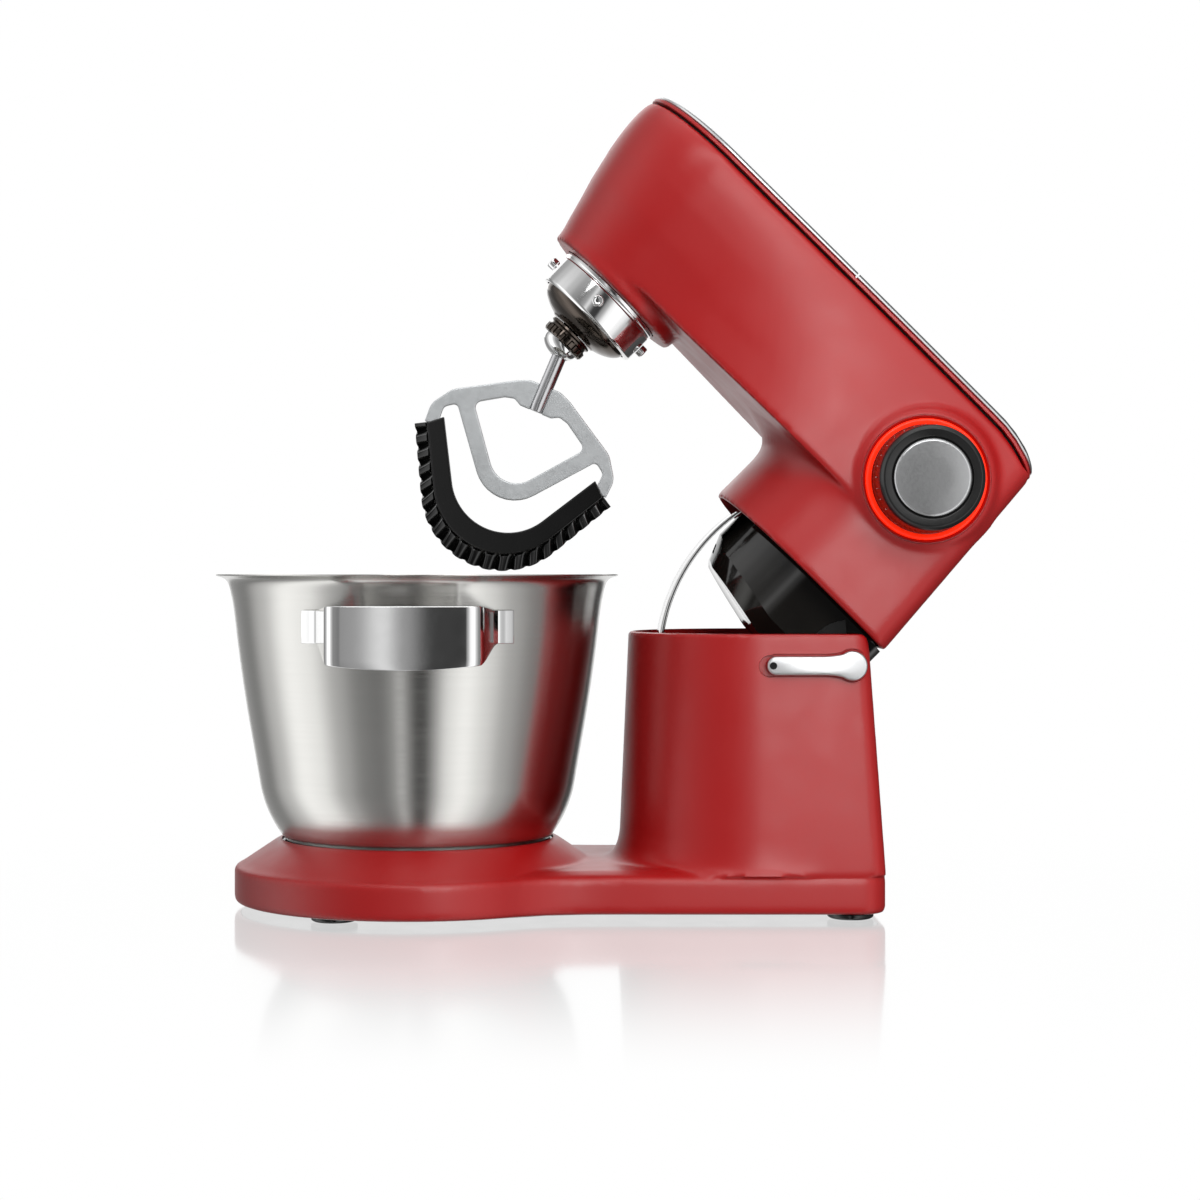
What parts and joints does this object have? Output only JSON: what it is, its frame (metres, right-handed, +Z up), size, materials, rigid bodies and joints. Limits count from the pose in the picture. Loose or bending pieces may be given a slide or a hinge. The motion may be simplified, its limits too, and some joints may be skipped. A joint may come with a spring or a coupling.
{
  "type": "stand mixer",
  "caption": "Tilt-head stand mixer with a column base, a raised arm, a planetary hub with a flat beater, a speed knob and a two-handled steel bowl.",
  "frame": {"origin": "on the floor under the middle of the bounding box, arm raised", "axes": "+Z up, +X from the bowl towards the column, so the speed knob and the release lever face -Y"},
  "size_m": [0.5021, 0.2806, 0.5064],
  "materials": {
    "red_paint": "satin gloss",
    "brushed_steel": "brushed round the bowl",
    "polished_steel": "polished",
    "satin_silver": "satin",
    "plain_steel": "smooth",
    "cast_aluminium": "cast, matt",
    "dark_metal": "dark, polished",
    "dark_plastic": "fine texture",
    "gloss_black": "gloss",
    "black_rubber": "smooth",
    "light_ring": "lit, translucent"
  },
  "bodies": {
    "base": {"base_housing": "red_paint", "base_plate": "dark_plastic", "foot_front_near": "black_rubber", "foot_front_far": "black_rubber", "foot_rear_near": "black_rubber", "foot_rear_far": "black_rubber", "plate_screw_front_near": "plain_steel", "plate_screw_front_far": "plain_steel", "plate_screw_rear_near": "plain_steel", "plate_screw_rear_far": "plain_steel", "bowl_seat": "satin_silver", "mains_gland": "black_rubber", "hinge_pin": "plain_steel", "hinge_upright_near": "plain_steel", "hinge_upright_far": "plain_steel", "lift_spring": "plain_steel", "lever_spring": "plain_steel"},
    "lever": {"release_lever": "satin_silver", "lever_crank": "plain_steel"},
    "bolt": {"latch_bolt": "plain_steel"},
    "arm": {"arm_housing": "red_paint", "top_trim": "red_paint", "top_deck": "dark_plastic", "motor_tub": "gloss_black", "hinge_bracket": "cast_aluminium", "guard_strap": "plain_steel", "latch_sector": "dark_plastic", "knob_dish": "red_paint", "light_ring": "light_ring", "speed_switch": "dark_plastic", "hub_collar": "polished_steel", "collar_pin_front": "polished_steel", "collar_pin_near": "polished_steel", "collar_pin_rear": "polished_steel", "collar_pin_far": "polished_steel", "ring_gear": "cast_aluminium", "gear_plate": "cast_aluminium", "drive_belt": "black_rubber", "motor_stator": "cast_aluminium"},
    "hub": {"hub_dome": "dark_metal", "tool_collar": "dark_plastic", "hub_cap": "satin_silver", "hub_shaft": "plain_steel", "hub_pulley": "cast_aluminium", "front_coupling": "dark_plastic"},
    "spindle": {"tool_spindle": "plain_steel", "planet_pinion": "plain_steel"},
    "motor": {"motor_rotor": "plain_steel", "motor_pulley": "cast_aluminium"},
    "beater": {"beater_shaft": "plain_steel", "beater_frame": "cast_aluminium", "scraper_blade": "black_rubber"},
    "knob": {"knob_grip": "dark_plastic", "knob_cap": "satin_silver"},
    "front_cover": {"front_lid": "satin_silver"},
    "rear_cover": {"rear_lid": "satin_silver"},
    "bowl": {"bowl_shell": "brushed_steel", "bowl_foot": "brushed_steel", "bowl_handle_near": "polished_steel", "bowl_handle_far": "polished_steel"}
  },
  "joints": [
    {"name": "arm_tilt", "type": "hinge", "parent": "base", "child": "arm", "pos_m": [0.13945, 0, 0.1528], "axis": [0, -1, 0], "range_deg": [0, 45], "stiffness_Nm_per_rad": 8, "springref_deg": -34.38},
    {"name": "lever_turn", "type": "hinge", "parent": "base", "child": "lever", "pos_m": [0.13945, -0.0837, 0.1528], "axis": [0, -1, 0], "range_deg": [0, 18], "stiffness_Nm_per_rad": 0.5, "springref_deg": -11.46},
    {"name": "bolt_slide", "type": "slide", "parent": "base", "child": "bolt", "axis": [-1, 0, 0], "range_m": [0, 0.0045]},
    {"name": "knob_turn", "type": "hinge", "parent": "arm", "child": "knob", "pos_m": [0.18421, -0.0755, 0.26431], "axis": [0, -1, 0], "range_deg": [-36, 252]},
    {"name": "hub_spin", "type": "hinge", "parent": "arm", "child": "hub", "pos_m": [-0.03132, 0, 0.35609], "axis": [0.7071, 0, 0.7071], "continuous": true},
    {"name": "spindle_spin", "type": "hinge", "parent": "hub", "child": "spindle", "pos_m": [-0.03132, 0, 0.35609], "axis": [0.3907, 0, 0.9205], "continuous": true},
    {"name": "motor_spin", "type": "hinge", "parent": "arm", "child": "motor", "pos_m": [0.13075, 0, 0.22825], "axis": [0.7071, 0, 0.7071], "continuous": true},
    {"name": "beater_pull", "type": "slide", "parent": "spindle", "child": "beater", "axis": [0.3907, 0, 0.9205], "range_m": [-0.03, 0]},
    {"name": "bowl_lift", "type": "slide", "parent": "base", "child": "bowl", "axis": [0, 0, -1], "range_m": [-0.025, 0]},
    {"name": "front_lid_lift", "type": "slide", "parent": "arm", "child": "front_cover", "axis": [0.7071, 0, 0.7071], "range_m": [0, 0.03]},
    {"name": "rear_lid_lift", "type": "slide", "parent": "arm", "child": "rear_cover", "axis": [0.7071, 0, 0.7071], "range_m": [0, 0.03]}
  ],
  "couplings": [
    {"joint": "spindle_spin", "follows": "hub_spin", "ratio": -2.6154},
    {"joint": "motor_spin", "follows": "hub_spin", "ratio": 4.75},
    {"joint": "bolt_slide", "follows": "lever_turn", "m_per_rad": 0.014}
  ]
}
